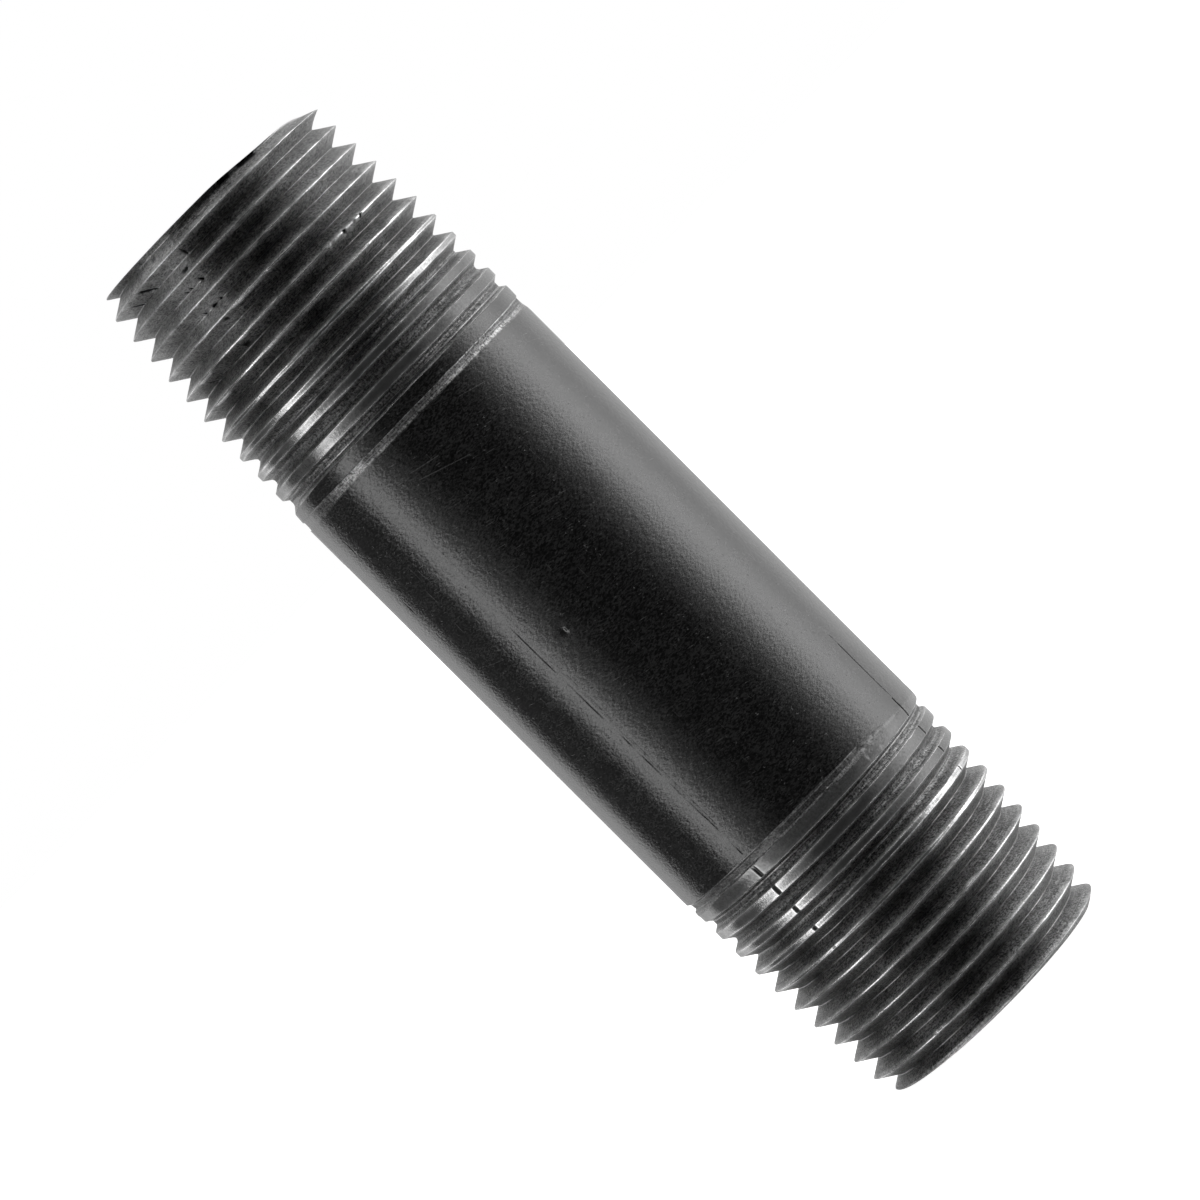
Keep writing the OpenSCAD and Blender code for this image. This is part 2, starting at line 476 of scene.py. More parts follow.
    def face_and_bore(self, beta, rim):
        """Rings across the sawn face, over the bevel and along the bore."""
        angle = np.radians(self.azimuth(beta))
        cos, sin = np.cos(angle), np.sin(angle)
        mouth_r = BORE_R + MOUTH_BEVEL
        rings, marks = [], []
        for share in (0.1, 0.3, 0.5, 0.7, 0.9):
            ring = rim + (mouth_r - rim) * share
            saw = 0.012 * (1 + self.noise(ring * cos * 1.5, ring * sin / 3, 0 * ring))
            saw = saw + self.face_drop(ring * cos)
            rings.append(self.place(ring, beta, saw)[:, None])
            marks.append(np.zeros((len(beta), 1, len(MARKS))))
        bore_rings = [(mouth_r, 0.0), (mouth_r - 0.06, 0.03), (BORE_R + 0.03, MOUTH_BEVEL - 0.06)]
        bore_rings += [(BORE_R, share * self.length) for share in (0.04, 0.1, 0.25, 0.5, 0.75, 1.0)]
        for ring_r, ring_d in bore_rings:
            rough = 0.012 * self.noise(cos * 9, sin * 9, 0 * angle + ring_d)
            ring = ring_r + (rough if 0 < ring_d < self.length else 0 * rough)
            drop = self.face_drop(ring_r * cos) * smooth_step(DROP_REACH, 0, ring_d)
            rings.append(self.place(ring, beta, ring_d + drop)[:, None])
            mark = np.zeros((len(beta), 1, len(MARKS)))
            mark[..., 0] = 1.0 if ring_d > MOUTH_BEVEL else 0.0
            marks.append(mark)
        return rings, marks


class UpperEnd(ThreadedEnd):
    """The last turn of its groove opens into a long bevel, and the first threads are scraped and painted
    with a sheen on their lamp-facing sides.
    """

    OFF_CENTRE = 0.10
    LAST_COAT = 1.0
    # painted sheen on the lamp-facing sides of the first threads, left and right
    PAINTED_SIDE_SHEEN = (0.15, 0.32)
    LEAN = 0.0115
    PATCHES = (
        (219.0, 4.1, 5.6, 4.1, 0.02, 0.65), (238.0, 3.4, 2.1, 3.6, 0.02, 1.0),
        (300.0, 8.38, 1.7, 0.30, 0.03, 0.8),
    )
    PITS = (
        (221.9, 1.82, 0.62, 0.17, 38, 0.25), (207.1, 2.02, 0.38, 0.18, 36, 0.22),
        (237.8, 2.02, 0.12, 0.09, 0, 0.10), (243.1, 2.02, 0.12, 0.09, 0, 0.10),
        (245.5, 2.72, 0.42, 0.12, -32, 0.22), (249.5, 1.79, 0.32, 0.11, -75, 0.14),
        (235.7, 3.85, 0.17, 0.09, 50, 0.14), (238.6, 3.85, 0.17, 0.09, 55, 0.14),
        (242.3, 3.87, 0.17, 0.09, 55, 0.14), (246.0, 3.90, 0.18, 0.10, 55, 0.14),
        (235.5, 5.72, 0.13, 0.09, 0, 0.10), (240.7, 5.72, 0.13, 0.10, 0, 0.10),
        (246.1, 5.74, 0.13, 0.09, 0, 0.08), (244.0, 7.16, 0.34, 0.07, -50, 0.10),
        (212.7, 9.29, 0.30, 0.12, 40, 0.16), (240.7, 9.11, 0.15, 0.11, 0, 0.12),
        (301.1, 8.38, 0.17, 0.12, 20, 0.16), (311.3, 8.38, 0.15, 0.11, 0, 0.16),
    )
    RIM_BREAKS = ((298.0, 1.15, 0.16), (284.0, 0.7, 0.06))
    BURRS = (
        (297.1, 8.39, 0.42, 0.24, 0.14), (292.4, 8.54, 0.14, 0.12, 0.06),
        (308.7, 8.36, 0.42, 0.20, 0.13), (269.8, 6.67, 0.16, 0.16, 0.06),
        (241.5, 16.35, 0.10, 0.22, 0.05), (305.5, 10.1, 0.9, 0.09, 0.03),
    )

    def azimuth(self, beta):
        return -beta

    def height(self, d):
        return PIPE_LEN - d

    def largest(self, d, shift):
        worn_side = 0.05 * (1 - shift / self.OFF_CENTRE)
        return PIPE_R - worn_side * smooth_step(self.reach, self.reach - 2, d)

    def rim_wear(self, azimuth):
        return smooth_step(70, 30, np.abs((azimuth - 2 + 180) % 360 - 180))

    def face_drop(self, x):
        return 0.25 * smooth_step(0.5, 6, x) + 0.15 * smooth_step(7, 9, x)

    def far_slope(self, z):
        last_turn = smooth_step(self.reach - 1.8, self.reach - 1.1, z)
        return np.tan(np.radians(90 - FLANK_ANGLE + (BEVEL_ANGLE - 90 + FLANK_ANGLE) * last_turn))

    def end_of_thread(self, radius, crest, marks, middle, w, place):
        """The cutter leaves the bevel rough, and bare where the lacquer didn't reach."""
        azimuth, d, x, y = place
        last_turn = (middle > self.reach - 1.6) & (middle < self.reach + 0.5)
        beside = ((w > 0.03) & last_turn) | (d > self.reach - 0.5)
        band = beside * smooth_step(0.0, 0.02, crest - radius)
        rough = layered(self.noise, x, y, d, 0.5)
        scraped = band * smooth_step(190, 245, azimuth) * np.clip(0.14 + 0.28 * rough, 0.0, 0.5)
        raise_mark(marks, "scraped", scraped)
        marks["polished"] = marks["polished"] * (1 - band)
        left = smooth_step(240, 205, azimuth)
        raise_mark(marks, "coated", 0.85 * band * left)
        line = 0.5 * last_turn * bell((w - 0.04 - 0.05 * rough) / 0.04)
        marks["bare"] = np.maximum(marks["bare"] * (1 - band), line * smooth_step(215, 245, azimuth))
        return radius - 0.035 * np.maximum(0, rough) * band


class LowerEnd(ThreadedEnd):
    """Its groove only grows shallower where it runs out, below a shallow rough band."""

    OFF_CENTRE = 0.0
    LAST_COAT = 0.45
    # painted sheen on the lamp-facing sides of the first threads, left and right
    PAINTED_SIDE_SHEEN = (0, 0.16)
    LEAN = -0.008
    NICKS = ((239.0, 9.6, 18.6, 0.14, 0.10), (330.4, 10.5, 19.9, 0.09, 0.10))
    BAND_FRONT = 19.25         # the band's middle at the camera's side, from the end face
    BAND_RISE = 0.7            # how much nearer the face it is at the sides
    BAND_HALF = 0.38
    BAND_DEPTH = 0.07
    TORN_SIDE = (288, 302, 340, 352)   # azimuths where it starts, is full, starts to fall and ends
    BURRS = (
        (298.6, 18.55, 0.16, 0.16, 0.04), (301.5, 18.62, 0.30, 0.08, 0.04),
        (306.0, 18.30, 0.34, 0.07, 0.03), (279.5, 19.10, 0.10, 0.22, 0.05),
        (283.5, 18.95, 0.08, 0.18, 0.05),
    )

    def azimuth(self, beta):
        return beta

    def height(self, d):
        return d

    def largest(self, d, shift):
        return PIPE_R - 0.10 * smooth_step(self.BAND_FRONT - 0.4, self.BAND_FRONT - 1.6, d)

    def band_middle(self, azimuth):
        facing = np.maximum(np.cos(np.radians(azimuth - 270)), 0)
        wavy = 0.04 * self.noise(azimuth / 9, 0 * azimuth, 0 * azimuth)
        return self.BAND_FRONT - self.BAND_RISE * (1 - facing) + wavy

    def end_of_thread(self, radius, crest, marks, middle, w, place):
        azimuth, d, x, y = place
        radius = self.torn_side(radius, crest, marks, place)
        offset = d - self.band_middle(azimuth)
        half = self.BAND_HALF * (1 - 0.8 * smooth_step(292, 327, azimuth))
        inside = smooth_step(half + 0.03, half - 0.03, np.abs(offset))
        inside = inside * smooth_step(150, 175, azimuth) * smooth_step(331, 325, azimuth)
        rough = layered(self.noise, x, y, d * 2, 0.5)
        ridged = 0.6 + 0.4 * np.cos(offset / 0.13) + 0.5 * rough
        radius = radius - inside * self.BAND_DEPTH * np.clip(ridged, 0, 1.5)
        above = smooth_step(-0.05, 0.05, offset) * (1 - inside)
        raise_mark(marks, "coated", np.maximum(0.35 * inside, above))
        marks["polished"] = marks["polished"] * (1 - inside)
        raise_mark(marks, "scraped", np.clip(0.3 + 0.3 * rough, 0, 0.6) * inside)
        right = smooth_step(285, 312, azimuth)
        line = 0.8 * bell((offset - 0.05 * rough) / 0.05) * inside * right
        marks["bare"] = np.maximum(marks["bare"] * (1 - inside), line)
        return radius

    def torn_side(self, radius, crest, marks, place):
        """On one side the crests are rubbed wide and bright, with ragged edges."""
        azimuth, d, x, y = place
        side = window(*self.TORN_SIDE, azimuth)
        ragged = layered(self.noise, x / 2, y / 2, d * 1.5, 0.5)
        near_crest = smooth_step(0.34, 0.10, crest - radius + 0.12 * ragged)
        near_crest = near_crest * smooth_step(self.reach - 4.8, self.reach - 5.8, d)
        streak = np.clip(0.35 + 0.9 * self.noise(x / 1.4, y / 1.4, d / 0.25), 0, 1)
        torn_edge = side * bell((crest - radius - 0.07) / 0.05) * streak * (d > self.reach - 6)
        rubbed = np.maximum(0.75 * side * near_crest * streak, torn_edge * (d < self.reach))
        raise_mark(marks, "bare", rubbed)
        return radius - 0.03 * side * near_crest * np.maximum(0, ragged)

    def extra_rows(self, beta):
        middle = self.band_middle(beta % 360)
        steps = (-self.BAND_HALF - 0.03, -self.BAND_HALF + 0.03, -0.2, -0.05, 0.1, 0.25)
        return [middle + step for step in steps + (self.BAND_HALF - 0.03, self.BAND_HALF + 0.03)]


# ---- barrel
class Barrel:
    """The plain pipe between the threads. Its outside carries dents and broken lines along it."""

    # azimuth, height, radius and depth of each dent; a negative depth is a bump
    PIT = ((252.7, 38.9, 0.26, 0.10), (253.9, 38.9, 0.16, -0.06))
    DENTS = PIT + (
        (285.0, 30.2, 0.55, 0.008), (297.0, 44.5, 0.35, 0.008), (262.0, 33.0, 0.50, 0.006),
    )
    # azimuth, lowest and highest point, half width, depth, and how much of the line is missing
    SCRATCHES = (
        (330.6, 19.8, 26.2, 0.045, 0.06, 0.0), (241.3, 21.0, 38.0, 0.035, 0.010, 0.35),
        (207.0, 46.8, 48.0, 0.05, 0.03, 0.2), (207.5, 52.6, 53.2, 0.05, 0.03, 0.0),
        (95.0, 24.0, 50.0, 0.05, 0.03, 0.4), (160.0, 30.0, 45.0, 0.06, 0.03, 0.5),
        (25.0, 22.0, 41.0, 0.05, 0.03, 0.45),
    )

    def __init__(self, seed):
        self.noise = Noise(seed)
        half = math.degrees(SEAM_W / 2 / PIPE_R)
        self.first, self.last = SEAM_AZIMUTH + half, SEAM_AZIMUTH - half + 360

    def radius(self, azimuth, z):
        angle = np.radians(azimuth)
        x, y = PIPE_R * np.cos(angle), PIPE_R * np.sin(angle)
        sink = 0.010 * (1 + layered(self.noise, x, y, z * 0.6, 4.5, 2)) * self.inside(z)
        for dent_azimuth, height, size, depth in self.DENTS:
            away = (arc_mm(azimuth, dent_azimuth) / size) ** 2 + ((z - height) / size) ** 2
            sink = sink + depth * np.exp(-away)
        for line_azimuth, low, high, half_width, depth, gaps in self.SCRATCHES:
            along = window(low - 0.2, low + 0.2, high - 0.2, high + 0.2, z)
            here = self.noise(0 * z + line_azimuth, 0 * z, z / 0.8)
            along = along * smooth_step(gaps - 0.15, gaps + 0.15, here + 0.6)
            wander = 0.05 * self.noise(0 * z, 0 * z + line_azimuth, z / 3)
            sink = sink + depth * along * bell((arc_mm(azimuth, line_azimuth) - wander) / half_width)
        return PIPE_R - np.maximum(sink, 0)

    def inside(self, z):
        """0 where the barrel meets a threaded end, so that their surfaces run into each other."""
        return window(BARREL_LOW, BARREL_LOW + 1.5, BARREL_HIGH - 1.5, BARREL_HIGH, z)

    def grid(self):
        around = math.ceil(math.radians(self.last - self.first) * PIPE_R / BARREL_STEP)
        angles = list(np.linspace(self.first, self.last, around + 1))
        step = math.degrees(FINE_STEP / PIPE_R)
        for line_azimuth, *_ in self.SCRATCHES:
            middle = line_azimuth if line_azimuth > self.first else line_azimuth + 360
            angles += [middle + step * i for i in range(-3, 4)]
        for dent_azimuth, *_ in self.PIT:
            angles += [dent_azimuth + 1.5 * step * i for i in range(-5, 6)]
        azimuth = np.unique(np.round(angles, 3))
        along = math.ceil((BARREL_HIGH - BARREL_LOW) / BARREL_STEP)
        rows = list(np.linspace(BARREL_LOW, BARREL_HIGH, along + 1))
        pit_height = self.PIT[0][1]
        rows += list(np.linspace(pit_height - 0.55, pit_height + 0.55, 14))
        z = np.unique(np.round(rows, 3))
        azimuth_grid, z_grid = np.meshgrid(azimuth, z, indexing="ij")
        return wall_grid(azimuth_grid, z_grid, self.radius(azimuth_grid, z_grid))


class Seam:
    """The weld line: a narrow flush strip with a fine crack that drifts across it."""

    def __init__(self, seed):
        self.noise = Noise(seed)
        self.half = math.degrees(SEAM_W / 2 / PIPE_R)

    def grid(self):
        azimuth = SEAM_AZIMUTH + np.linspace(-self.half, self.half, 21)
        z = np.linspace(BARREL_LOW, BARREL_HIGH, 260)
        azimuth_grid, z_grid = np.meshgrid(azimuth, z, indexing="ij")
        arc = arc_mm(azimuth_grid, SEAM_AZIMUTH)
        open_part = smooth_step(42.5, 40.0, z_grid)
        middle = 0.20 - 0.015 * (z_grid - BARREL_LOW) + 0.03 * self.noise(0 * arc, 0 * arc, z_grid / 1.6)
        strong = np.clip(0.6 + 0.8 * self.noise(0 * arc + 9, 0 * arc, z_grid / 0.9), 0.1, 1)
        crack = open_part * strong * bell((arc - middle) / 0.022)
        return wall_grid(azimuth_grid, z_grid, PIPE_R - 0.025 * crack)


def wall_grid(azimuth, z, outer_r):
    """A curved wall with the given outside, closed by its ends, its sides and the bore."""
    angle = np.radians(azimuth)
    outside = np.stack([outer_r * np.cos(angle), outer_r * np.sin(angle), z], -1)
    bore = np.stack([BORE_R * np.cos(angle), BORE_R * np.sin(angle), z], -1)
    keep = np.unique(np.linspace(0, z.shape[1] - 1, 9).astype(int))
    return np.concatenate([outside, bore[:, keep[::-1]]], 1)


# ---- making meshes
def new_object(name, data):
    made = bpy.data.objects.new(name, data)
    bpy.context.scene.collection.objects.link(made)
    return made


def closed_mesh(name, points, marks=None, ring=True):
    """A closed mesh from columns of points, each of which runs once round the wall's section. A ring
    goes all the way round the pipe. Anything else has a flat side at each end, and its columns run
    the other way round the section."""
    columns, rows = points.shape[:2]
    number = np.arange(columns * rows).reshape(columns, rows)
    following = np.roll(number, -1, axis=1)
    a, b = number[:-1].ravel(), number[1:].ravel()
    c, d = following[1:].ravel(), following[:-1].ravel()
    quads = np.stack([a, d, c, b] if ring else [a, b, c, d], -1)
    faces = quads.tolist()
    if not ring:
        faces += [number[0].tolist(), number[-1][::-1].tolist()]
    mesh = bpy.data.meshes.new(name)
    mesh.from_pydata((points.reshape(-1, 3) * MM).tolist(), [], faces)
    for index, mark in enumerate(MARKS):
        if marks is not None:
            layer = mesh.attributes.new(mark, "FLOAT", "POINT")
            layer.data.foreach_set("value", marks[..., index].ravel().astype(np.float32))
    clean(mesh)
    return new_object(name, mesh)


def clean(mesh):
    """Joins points that coincide, drops faces with no area and sets smooth and sharp edges."""
    work = bmesh.new()
    work.from_mesh(mesh)
    bmesh.ops.remove_doubles(work, verts=work.verts, dist=MERGE_DIST * MM)
    bmesh.ops.dissolve_degenerate(work, edges=work.edges, dist=SLIVER * MM)
    work.to_mesh(mesh)
    work.free()
    mesh.validate()
    mesh.polygons.foreach_set("use_smooth", np.ones(len(mesh.polygons), bool))
    mesh.set_sharp_from_angle(angle=math.radians(SHARP_ANGLE))


# ---- materials
LACQUER_SEED = 2.0
STEEL_SEED = 1.0
STEEL_METALLIC = 0.9
LACQUER_METALLIC = 0.0


class Nodes:
    """Short ways to add and link shader nodes."""

    def __init__(self, tree):
        self.tree = tree
        tree.nodes.clear()

    def add(self, kind, inputs=None, **settings):
        node = self.tree.nodes.new("ShaderNode" + kind)
        for key, value in settings.items():
            setattr(node, key, value)
        for key, value in (inputs or {}).items():
            if isinstance(value, bpy.types.NodeSocket):
                self.tree.links.new(value, node.inputs[key])
            else:
                node.inputs[key].default_value = value
        return node

    def math(self, operation, *values):
        return self.add("Math", dict(enumerate(values)), operation=operation).outputs[0]

    def total(self, *values):
        result = values[0]
        for value in values[1:]:
            result = self.math("ADD", result, value)
        return result

    def product(self, *values):
        result = values[0]
        for value in values[1:]:
            result = self.math("MULTIPLY", result, value)
        return result

    def step(self, value, low, high, to_low=0.0, to_high=1.0):
        """Smooth change from to_low to to_high as value goes from low to high."""
        inputs = {"Value": value, "From Min": low, "From Max": high, "To Min": to_low, "To Max": to_high}
        return self.add("MapRange", inputs, interpolation_type="SMOOTHSTEP").outputs[0]

    def mm(self, stretch=(1, 1, 1)):
        """The object's own coordinates in mm, stretched."""
        coordinates = self.add("TexCoord").outputs["Object"]
        inputs = {"Vector": coordinates, "Scale": [part / MM for part in stretch]}
        return self.add("Mapping", inputs, vector_type="POINT").outputs[0]

    def turn_and_height(self):
        """Turn about the pipe from the seam, in degrees, and height, in mm."""
        x, y, z = self.add("SeparateXYZ", {0: self.mm()}).outputs
        cos, sin = cos_sin(SEAM_AZIMUTH)
        along = self.total(self.product(x, cos), self.product(y, sin))
        across = self.math("SUBTRACT", self.product(y, cos), self.product(x, sin))
        back = self.math("ARCTAN2", self.product(across, -1.0), self.product(along, -1.0))
        return self.total(self.math("DEGREES", back), 180.0), z

    def noise(self, size, stretch=(1, 1, 1), detail=2.0, roughness=0.5, seed=0.0):
        """Noise with features of about `size` mm, from 0 to 1."""
        inputs = {"Vector": self.mm(stretch), "W": seed, "Scale": 1 / size, "Detail": detail}
        inputs |= {"Roughness": roughness}
        return self.add("TexNoise", inputs, noise_dimensions="4D").outputs["Fac"]

    def slanted(self, across, along, slant, length=1.0, width=1.0):
        """How far along a slanted line a point is, in lengths, and how far to its side, in widths."""
        cos, sin = cos_sin(slant)
        lengthways = self.total(self.product(across, cos / length), self.product(along, sin / length))
        sides = self.product(along, cos / width), self.product(across, sin / width)
        return lengthways, self.math("SUBTRACT", *sides)

    def streaks(self, length, width, slant, seed, threshold):
        """Sparse thin marks on the pipe's surface: size in mm, and slant from straight round it."""
        turn, z = self.turn_and_height()
        arc = self.product(turn, math.radians(1) * PIPE_R)
        lengthways, sideways = self.slanted(arc, z, slant, length, width)
        place = self.add("CombineXYZ", {"X": lengthways, "Y": sideways, "Z": seed}).outputs[0]
        noise = self.add("TexNoise", {"Vector": place, "Scale": 1.0, "Detail": 1.0}).outputs["Fac"]
        return self.step(noise, threshold, threshold + 0.05)

    def dash(self, azimuth, height, length, width, slant):
        """One short mark at a place on the pipe."""
        turn, z = self.turn_and_height()
        offset = self.math("SUBTRACT", turn, float((azimuth - SEAM_AZIMUTH) % 360))
        across = self.product(offset, math.radians(1) * PIPE_R)
        lengthways, sideways = self.slanted(across, self.math("SUBTRACT", z, height), slant)
        end = self.step(self.math("ABSOLUTE", lengthways), length / 2, length / 2 - 0.08)
        side = self.step(self.math("ABSOLUTE", sideways), width / 2 + 0.02, width / 2 - 0.02)
        return self.product(end, side)

    def turning_lines(self, seed):
        """Fine lines that the cutter left along the thread's helix, from 0 to 1."""
        x, y, z = self.add("SeparateXYZ", {0: self.mm()}).outputs
        turns = self.product(self.math("ARCTAN2", y, x), 1 / math.tau)
        phase = self.math("SUBTRACT", self.product(z, 1 / PITCH), turns)
        angle = self.product(phase, math.tau)
        line_size = 0.05
        radius = PITCH / line_size / math.tau
        line_len = 3.0
        place = self.add("CombineXYZ", {
            "X": self.product(self.math("COSINE", angle), radius),
            "Y": self.product(self.math("SINE", angle), radius),
            "Z": self.product(self.total(x, self.product(z, 0.6)), 1 / line_len),
        }).outputs[0]
        w = self.total(self.product(self.math("SUBTRACT", y, self.product(z, 0.8)), 1 / line_len), seed)
        inputs = {"Vector": place, "W": w, "Scale": 1.0, "Detail": 2.0, "Roughness": 0.6}
        return self.add("TexNoise", inputs, noise_dimensions="4D").outputs["Fac"]

    def mark(self, name):
        """A value that the mesh carries."""
        return self.add("Attribute", attribute_name=name).outputs["Fac"]

    def mix(self, factor, a, b):
        """Mixes two numbers."""
        return self.add("Mix", {0: factor, 2: a, 3: b}, data_type="FLOAT").outputs[0]

    def grey(self, value):
        """A colour from one number."""
        inputs = {"Red": value, "Green": value, "Blue": value}
        return self.add("CombineColor", inputs).outputs[0]

    def finish(self, tone, roughness, height, metallic):
        """The surface: tone and roughness, with its relief given in mm."""
        normal = self.add("Bump", {"Height": height, "Distance": MM, "Strength": 1.0}).outputs["Normal"]
        shader = self.add("BsdfPrincipled", {
            "Base Color": self.grey(tone), "Roughness": roughness, "Normal": normal,
            "Metallic": metallic, "IOR": 1.55,
        })
        self.add("OutputMaterial", {"Surface": shader.outputs[0]})


def new_material(name):
    material = bpy.data.materials.new(name)
    material.use_nodes = True
    return material, Nodes(material.node_tree)


# Single marks on the lacquer: azimuth, height, length and width in mm, slant, brightness
LACQUER_DASHES = (
    (307.2, 40.3, 0.9, 0.06, 70, 0.5), (307.0, 47.6, 0.8, 0.06, 75, 0.6),
    (305.2, 45.6, 0.7, 0.06, 78, 0.45), (321.3, 29.2, 0.16, 0.13, 0, 0.9),
    (221.0, 44.0, 0.8, 0.05, 88, 0.35), (225.0, 36.5, 0.6, 0.05, 92, 0.3),
    (259.6, 53.4, 2.4, 0.07, -12, 0.35), (264.4, 52.3, 4.0, 0.07, -18, 0.40),
)


def lacquer_look(n, seed):
    """Thin black lacquer: fine grain drawn out round the pipe, faint flecks, scratches and specks.
    Gives tone, roughness and relief."""
    grain = n.noise(0.15, (0.45, 0.45, 1), detail=3.0, roughness=0.65, seed=seed)
    flow = n.noise(0.9, (0.5, 0.5, 1), detail=2.0, seed=seed + 1)
    flecks = n.streaks(0.9, 0.10, -13, seed + 2, 0.700)
    scratches = n.streaks(7.0, 0.07, -14, seed + 3, 0.745)
    lines = n.streaks(0.16, 2.6, 3, seed + 4, 0.73)
    specks = n.step(n.noise(0.20, seed=seed + 5), 0.72, 0.76)
    faint = n.math("MAXIMUM", n.math("MAXIMUM", flecks, scratches), n.product(lines, 0.6))
    light = n.math("MAXIMUM", n.product(faint, 0.38), n.product(specks, 0.6))
    for *place, brightness in LACQUER_DASHES:
        light = n.math("MAXIMUM", light, n.product(n.dash(*place), brightness))
    speckle = n.noise(0.11, (0.5, 0.5, 1), detail=2.0, seed=seed + 7)
    tone = n.product(n.step(flow, 0.3, 0.7, 0.007, 0.012), n.step(speckle, 0.35, 0.65, 0.1, 3.0))
    tone = n.total(tone, n.product(light, 0.14))
    rough = n.total(n.step(flow, 0.3, 0.7, 0.11, 0.15), n.product(light, 0.25))
    pinholes = n.step(n.noise(0.24, seed=seed + 6), 0.30, 0.26)
    relief = n.total(n.product(grain, 0.044), n.product(flow, 0.016), n.product(pinholes, -0.02))
    relief = n.math("SUBTRACT", relief, n.product(faint, 0.003))
    return tone, rough, relief


def cut_steel_look(n, seed):
    """Cut steel darkened by oil, with turning lines, bright where it is rubbed or where new metal shows at
    tears, and painted brighter on the lamp-facing sides of the first threads through the scraped mark.
    Gives tone, roughness and relief."""
    bare, scraped, pitted = n.mark("bare"), n.mark("scraped"), n.mark("pitted")
    polished = n.mark("polished")
    turning = n.turning_lines(seed)
    grain = n.noise(0.14, detail=3.0, roughness=0.7, seed=seed + 1)
    stain = n.noise(1.8, detail=4.0, roughness=0.65, seed=seed + 2)
    bright_grain = n.noise(0.16, detail=2.0, seed=seed + 3)
    oily = n.product(n.step(stain, 0.3, 0.7, 0.12, 0.22), n.step(turning, 0.3, 0.7, 0.6, 1.5))
    oily = n.product(oily, n.step(grain, 0.36, 0.64, 0.15, 1.9))
    smooth = n.product(n.step(stain, 0.3, 0.7, 0.20, 0.28), n.step(grain, 0.3, 0.7, 0.7, 1.25))
    oily = n.mix(polished, oily, smooth)
    rubbed = n.product(bare, n.step(bright_grain, 0.25, 0.7, 0.45, 1.05))
    # The scraped mark raises the tone: real scrapes and tears, and a painted sheen on the lamp-facing sides
    # of the first threads.
    torn_and_sheen = n.product(scraped, n.step(grain, 0.3, 0.7, 0.35, 1.15))
    tone = n.mix(n.math("MAXIMUM", rubbed, n.product(torn_and_sheen, 0.70)), oily, 0.82)
    tone = n.product(tone, n.step(pitted, 0.1, 0.8, 1.0, 0.06))
    rough = n.mix(polished, n.step(stain, 0.3, 0.7, 0.28, 0.40), 0.12)
    rough = n.mix(bare, rough, 0.20)
    rough = n.mix(scraped, rough, 0.50)
    rough = n.mix(pitted, rough, 0.60)
    fine = n.total(n.product(turning, 0.012), n.product(grain, 0.070))
    relief = n.product(fine, n.step(polished, 0.0, 1.0, 1.0, 0.25))
    relief = n.total(relief, n.product(scraped, n.product(bright_grain, 0.05)))
    return tone, rough, relief


def lacquer_material(name, seed):
    material, n = new_material(name)
    n.finish(*lacquer_look(n, seed), LACQUER_METALLIC)
    return material


def thread_material(name, seed):
    """Cut steel, with the barrel's lacquer where the mesh says that it runs on."""
    material, n = new_material(name)
    coated = n.mark("coated")
    lacquer, steel = lacquer_look(n, LACQUER_SEED), cut_steel_look(n, seed)
    mixed = [n.mix(coated, a, b) for a, b in zip(steel, lacquer)]
    n.finish(*mixed, n.step(coated, 0.0, 1.0, STEEL_METALLIC, LACQUER_METALLIC))
    return material


# ---- stage
def make_floor():
    """A pale floor that the nipple stands on, bright enough to run into the backdrop."""
    size = 6.0
    mesh = bpy.data.meshes.new("floor")
    corners = [(-size, -size, 0), (size, -size, 0), (size, size, 0), (-size, size, 0)]
    mesh.from_pydata(corners, [], [(0, 1, 2, 3)])
    floor = new_object("floor", mesh)
    material, n = new_material("pale_floor")
    shader = n.add("BsdfPrincipled", {
        "Base Color": (0.85, 0.85, 0.85, 1), "Roughness": 0.9,
        "Emission Color": (1, 1, 1, 1), "Emission Strength": 0.85,
    })
    n.add("OutputMaterial", {"Surface": shader.outputs[0]})
    mesh.materials.append(material)
    floor.visible_glossy = False
    floor.visible_diffuse = False


# Each soft light, by azimuth from the camera's side towards +X: where it starts and is full, where
# it starts to fall and ends, and its brightness
LIGHT_PANELS = (
    (-80, -71, -61, -51, 2.8),     # strip light on the left
    (-78, -60, -50, -20, 0.55),    # its spill towards the camera
    (-125, -110, -90, -75, 0.1),   # dim side wall
    (60, 90, 90, 130, 2.75),       # large soft light on the right
    (35, 85, 110, 180, 1.2),       # its spill
    (115, 135, 222, 238, 0.55),    # pale backdrop behind the object
    (200, 222, 230, 238, 0.65),    # brighter end of the backdrop
)
SIDE_LIGHT_TOP = (26, 56)      # full up to the first elevation, dim from the second
DIM_ABOVE = 0.17
CEILING = (58, 74)             # a pale ceiling and floor, from the first elevation on
CEILING_LIGHT = 1.0
ROOM_LIGHT = 0.05


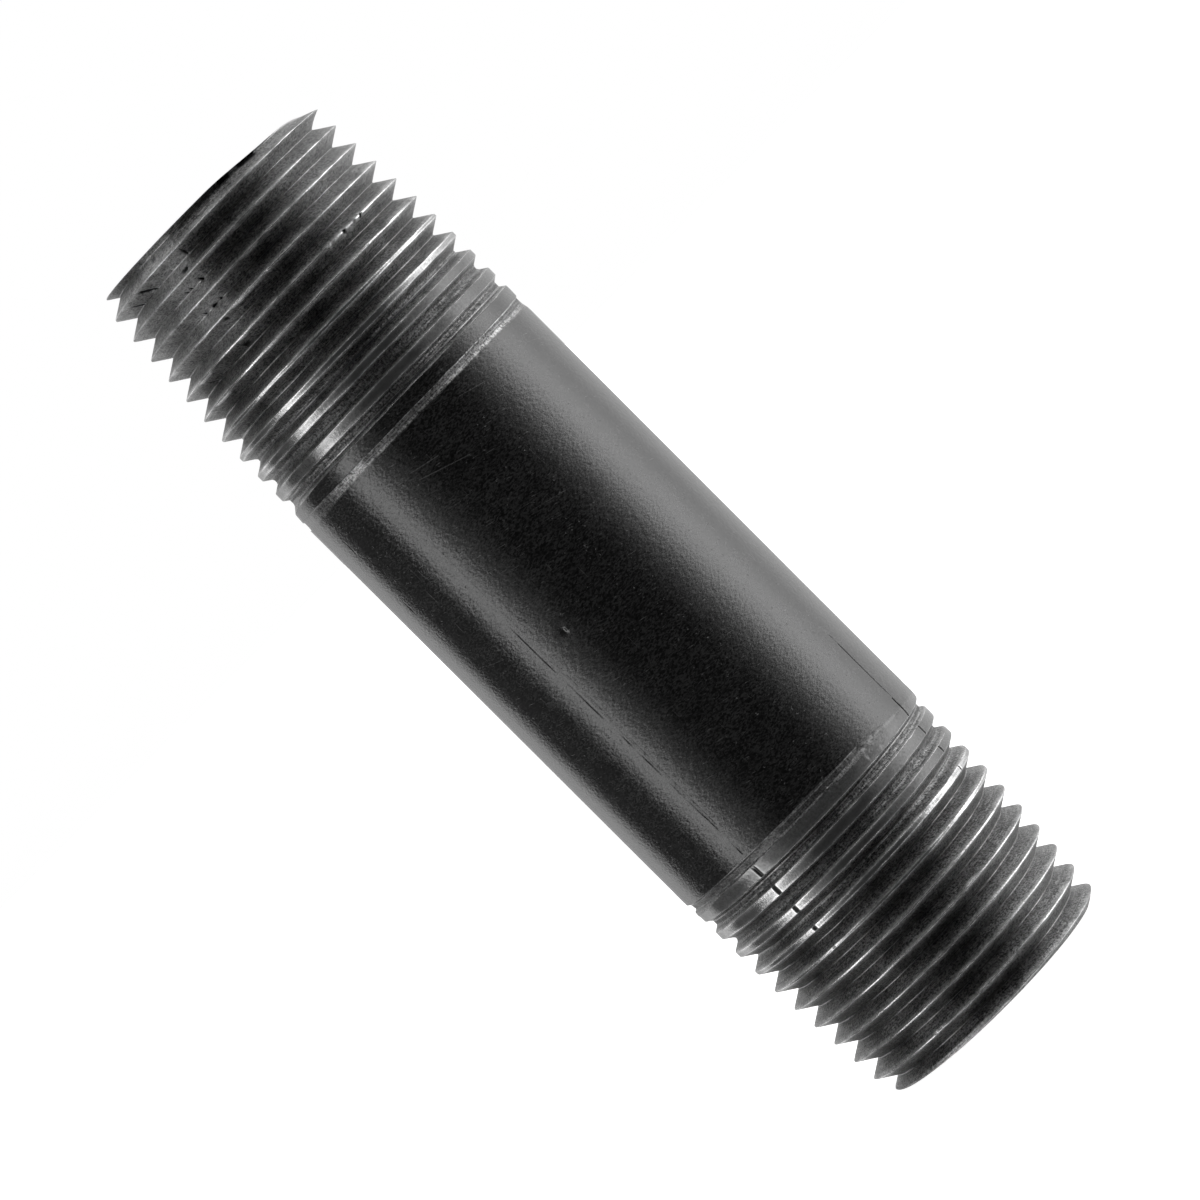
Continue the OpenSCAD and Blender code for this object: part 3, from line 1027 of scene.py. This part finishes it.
def make_world():
    """White for the camera; for reflections, soft lights round the object."""
    world = bpy.data.worlds.new("studio")
    bpy.context.scene.world = world
    world.use_nodes = True
    n = Nodes(world.node_tree)
    direction = n.add("SeparateXYZ", {0: n.add("TexCoord").outputs["Generated"]}).outputs
    away = n.product(direction[1], -1.0)
    azimuth = n.math("DEGREES", n.math("ARCTAN2", direction[0], away))
    elevation = n.math("DEGREES", n.math("ARCSINE", n.math("ABSOLUTE", direction[2])))
    sides = 0.0
    for start, full, fall, end, brightness in LIGHT_PANELS:
        middle = (full + fall) / 2
        turn = n.math("WRAP", n.math("SUBTRACT", azimuth, middle), 180.0, -180.0)
        rising = n.step(turn, float(start - middle), float(full - middle))
        falling = n.step(turn, float(end - middle), float(fall - middle))
        sides = n.total(sides, n.product(rising, falling, float(brightness)))
    sides = n.product(sides, n.step(elevation, *map(float, SIDE_LIGHT_TOP), 1.0, DIM_ABOVE))
    ceiling = n.step(elevation, *map(float, CEILING), ROOM_LIGHT, CEILING_LIGHT)
    seen = n.add("LightPath").outputs["Is Camera Ray"]
    strength = n.mix(seen, n.total(sides, ceiling), 1.0)
    background = n.add("Background", {"Color": (1, 1, 1, 1), "Strength": strength})
    n.add("OutputWorld", {"Surface": background.outputs[0]})


def make_camera():
    """Aimed at the middle of the pipe from slightly above square, and rolled so that the upper end
    points up and to the left."""
    distance = 0.425
    rise = math.radians(2.4)
    roll = math.radians(45.065)
    aim_offset = Vector((-0.03, 0, -0.03)) * MM
    camera = new_object("camera", bpy.data.cameras.new("camera"))
    camera.data.lens = 186.2
    camera.data.sensor_width = 36.0
    camera.data.clip_start, camera.data.clip_end = 0.01, 50
    aim = (cad_low + cad_high) / 2 + aim_offset
    level = Matrix.Rotation(math.radians(90) - rise, 4, "X")
    back = Vector((0, -math.cos(rise), math.sin(rise)))
    camera.matrix_world = Matrix.Translation(aim + distance * back) @ level @ Matrix.Rotation(-roll, 4, "Z")
    bpy.context.scene.camera = camera


# ---- build
def finish_piece(piece, node, material):
    piece.data.materials.append(material)
    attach(piece, "root")
    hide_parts(node)


def build():
    lower = LowerEnd(reach=19.4, length=BARREL_LOW, turn=55, seed=11)
    upper = UpperEnd(reach=20.35, length=PIPE_LEN - BARREL_HIGH, turn=39, seed=23)
    thread = thread_material("cut_thread", STEEL_SEED)
    for end, node in ((lower, "lower_threaded_end"), (upper, "upper_threaded_end")):
        piece = closed_mesh("shown_" + node, *end.grid())
        finish_piece(piece, node, thread)
    barrel = closed_mesh("shown_pipe_barrel", Barrel(seed=5).grid(), ring=False)
    finish_piece(barrel, "pipe_barrel", lacquer_material("lacquered_pipe", LACQUER_SEED))
    seam = closed_mesh("shown_weld_seam", Seam(seed=8).grid(), ring=False)
    finish_piece(seam, "weld_seam", lacquer_material("weld_seam", LACQUER_SEED))


build()
make_floor()
make_world()
make_camera()
bpy.context.scene.view_settings.view_transform = "Standard"
